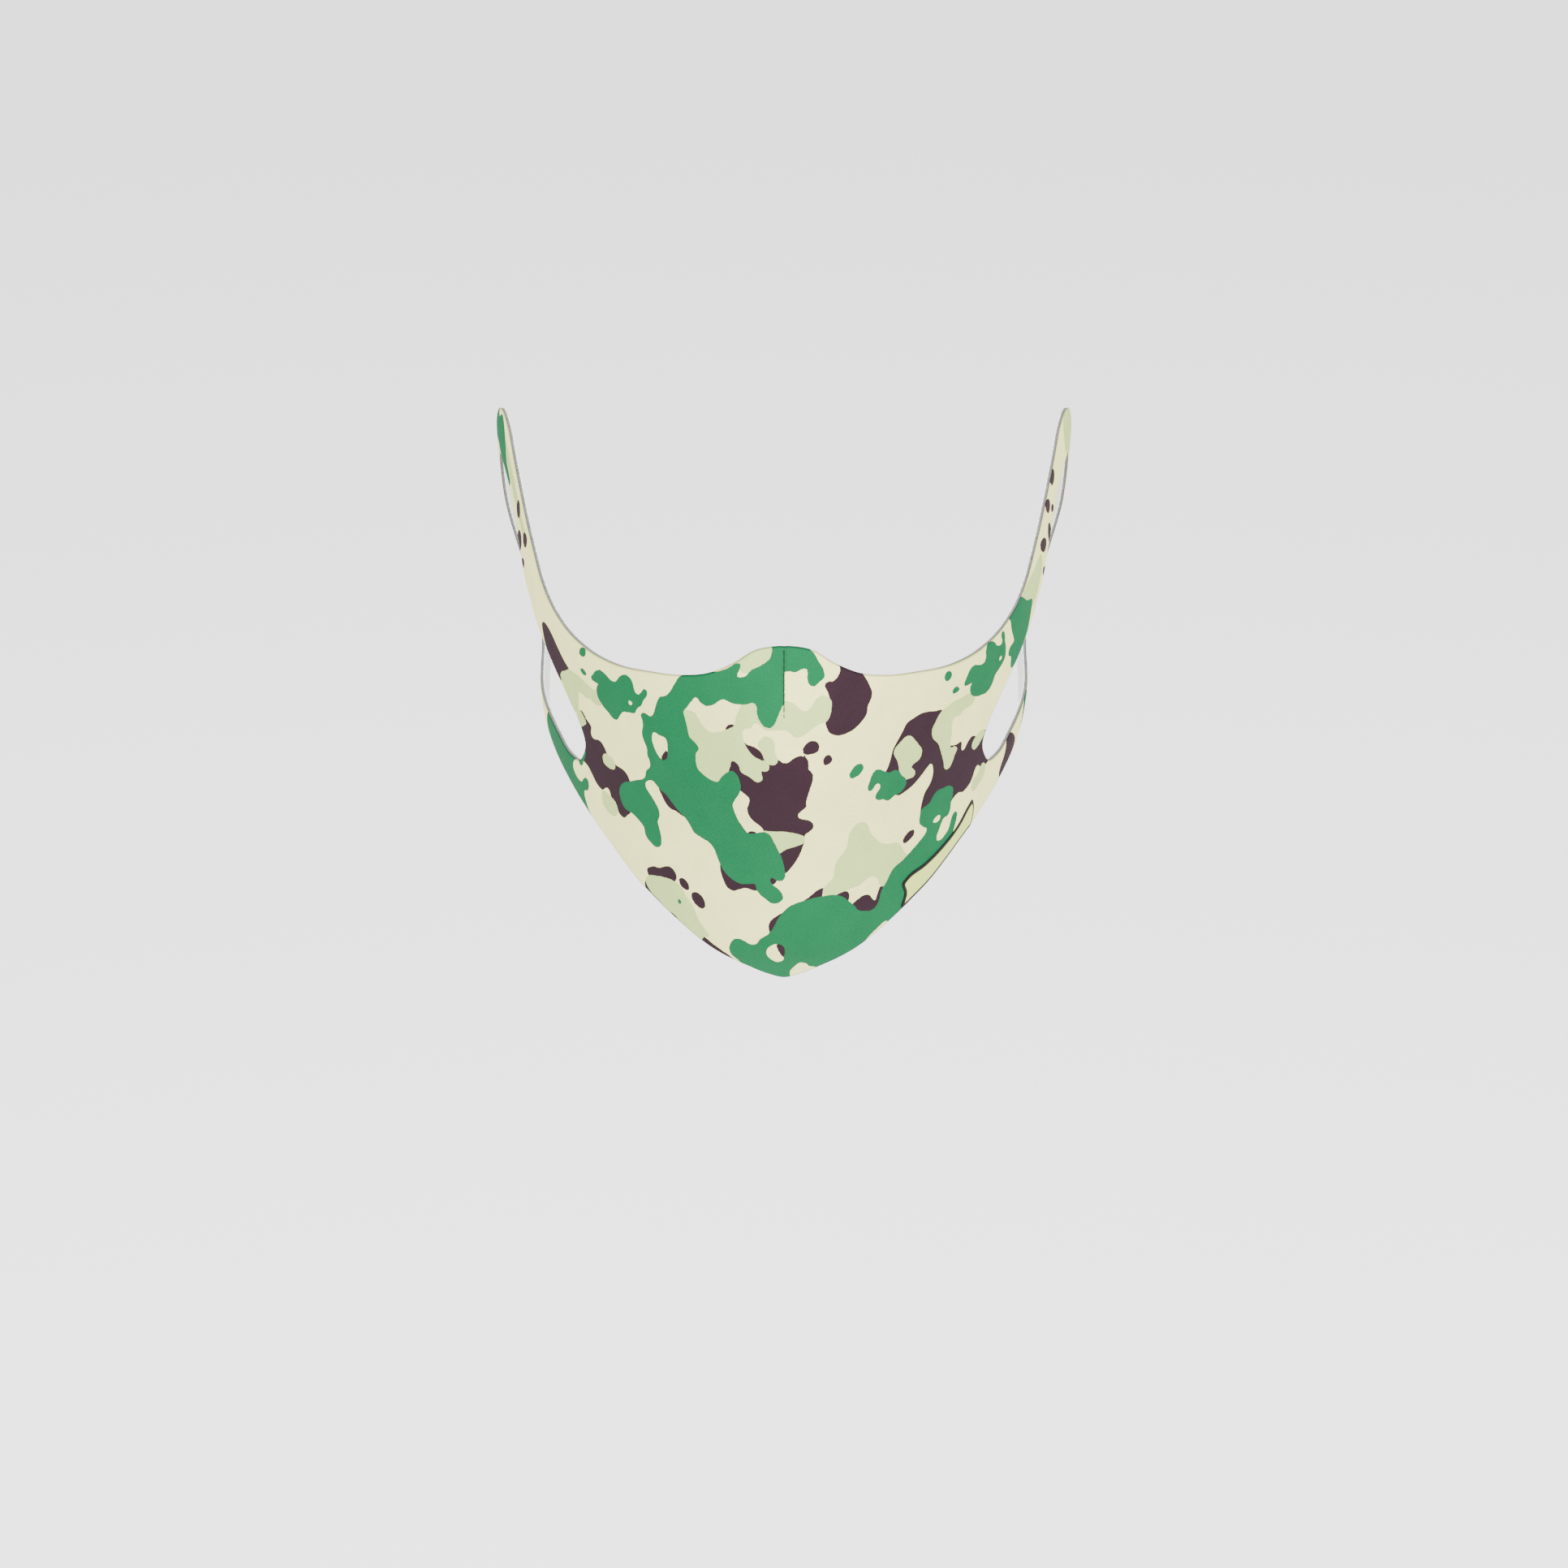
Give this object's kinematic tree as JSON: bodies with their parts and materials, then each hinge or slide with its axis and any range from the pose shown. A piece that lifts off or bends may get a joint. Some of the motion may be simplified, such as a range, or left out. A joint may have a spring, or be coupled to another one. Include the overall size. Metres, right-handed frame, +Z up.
{
  "type": "face mask",
  "caption": "Contoured pull-on fabric face mask with a camouflage print and ear loops cut in one with the panel.",
  "frame": {"origin": "midway between the wearer's ears, on the line through them", "axes": "+Z up, -Y the way the wearer faces, +X the wearer's left"},
  "size_m": [0.16, 0.1569, 0.1282],
  "materials": {
    "printed_knit": "matte",
    "foam_core": "matte",
    "white_lining": "matte",
    "dart_thread": "matte",
    "seam_tape": "matte",
    "label_print": "satin"
  },
  "bodies": {
    "mask_front": {"face_front": "printed_knit", "foam_front": "foam_core", "lining_front": "white_lining", "nose_dart_stitching": "dart_thread", "nose_dart_tape": "seam_tape", "side_label": "label_print"},
    "left_loop": {"face_left_upper_strap": "printed_knit", "face_left_lower_strap": "printed_knit", "foam_left_upper_strap": "foam_core", "foam_left_lower_strap": "foam_core", "lining_left_upper_strap": "white_lining", "lining_left_lower_strap": "white_lining"},
    "left_ear_arc": {"face_left_ear_arc": "printed_knit", "foam_left_ear_arc": "foam_core", "lining_left_ear_arc": "white_lining"},
    "right_loop": {"face_right_upper_strap": "printed_knit", "face_right_lower_strap": "printed_knit", "foam_right_upper_strap": "foam_core", "foam_right_lower_strap": "foam_core", "lining_right_upper_strap": "white_lining", "lining_right_lower_strap": "white_lining"},
    "right_ear_arc": {"face_right_ear_arc": "printed_knit", "foam_right_ear_arc": "foam_core", "lining_right_ear_arc": "white_lining"}
  },
  "joints": [
    {"name": "left_loop_swing", "type": "hinge", "parent": "mask_front", "child": "left_loop", "pos_m": [0.05833, -0.0438, -0.04853], "axis": [-0.0805, -0.0009, -0.9968], "range_deg": [-45, 80], "stiffness_Nm_per_rad": 0.01},
    {"name": "left_loop_stretch", "type": "slide", "parent": "left_loop", "child": "left_ear_arc", "axis": [0, 1, 0], "range_m": [0, 0.01], "stiffness_N_per_m": 60},
    {"name": "right_loop_swing", "type": "hinge", "parent": "mask_front", "child": "right_loop", "pos_m": [-0.05833, -0.0438, -0.04853], "axis": [-0.0805, 0.0009, 0.9968], "range_deg": [-45, 80], "stiffness_Nm_per_rad": 0.01},
    {"name": "right_loop_stretch", "type": "slide", "parent": "right_loop", "child": "right_ear_arc", "axis": [0, 1, 0], "range_m": [0, 0.01], "stiffness_N_per_m": 60}
  ]
}
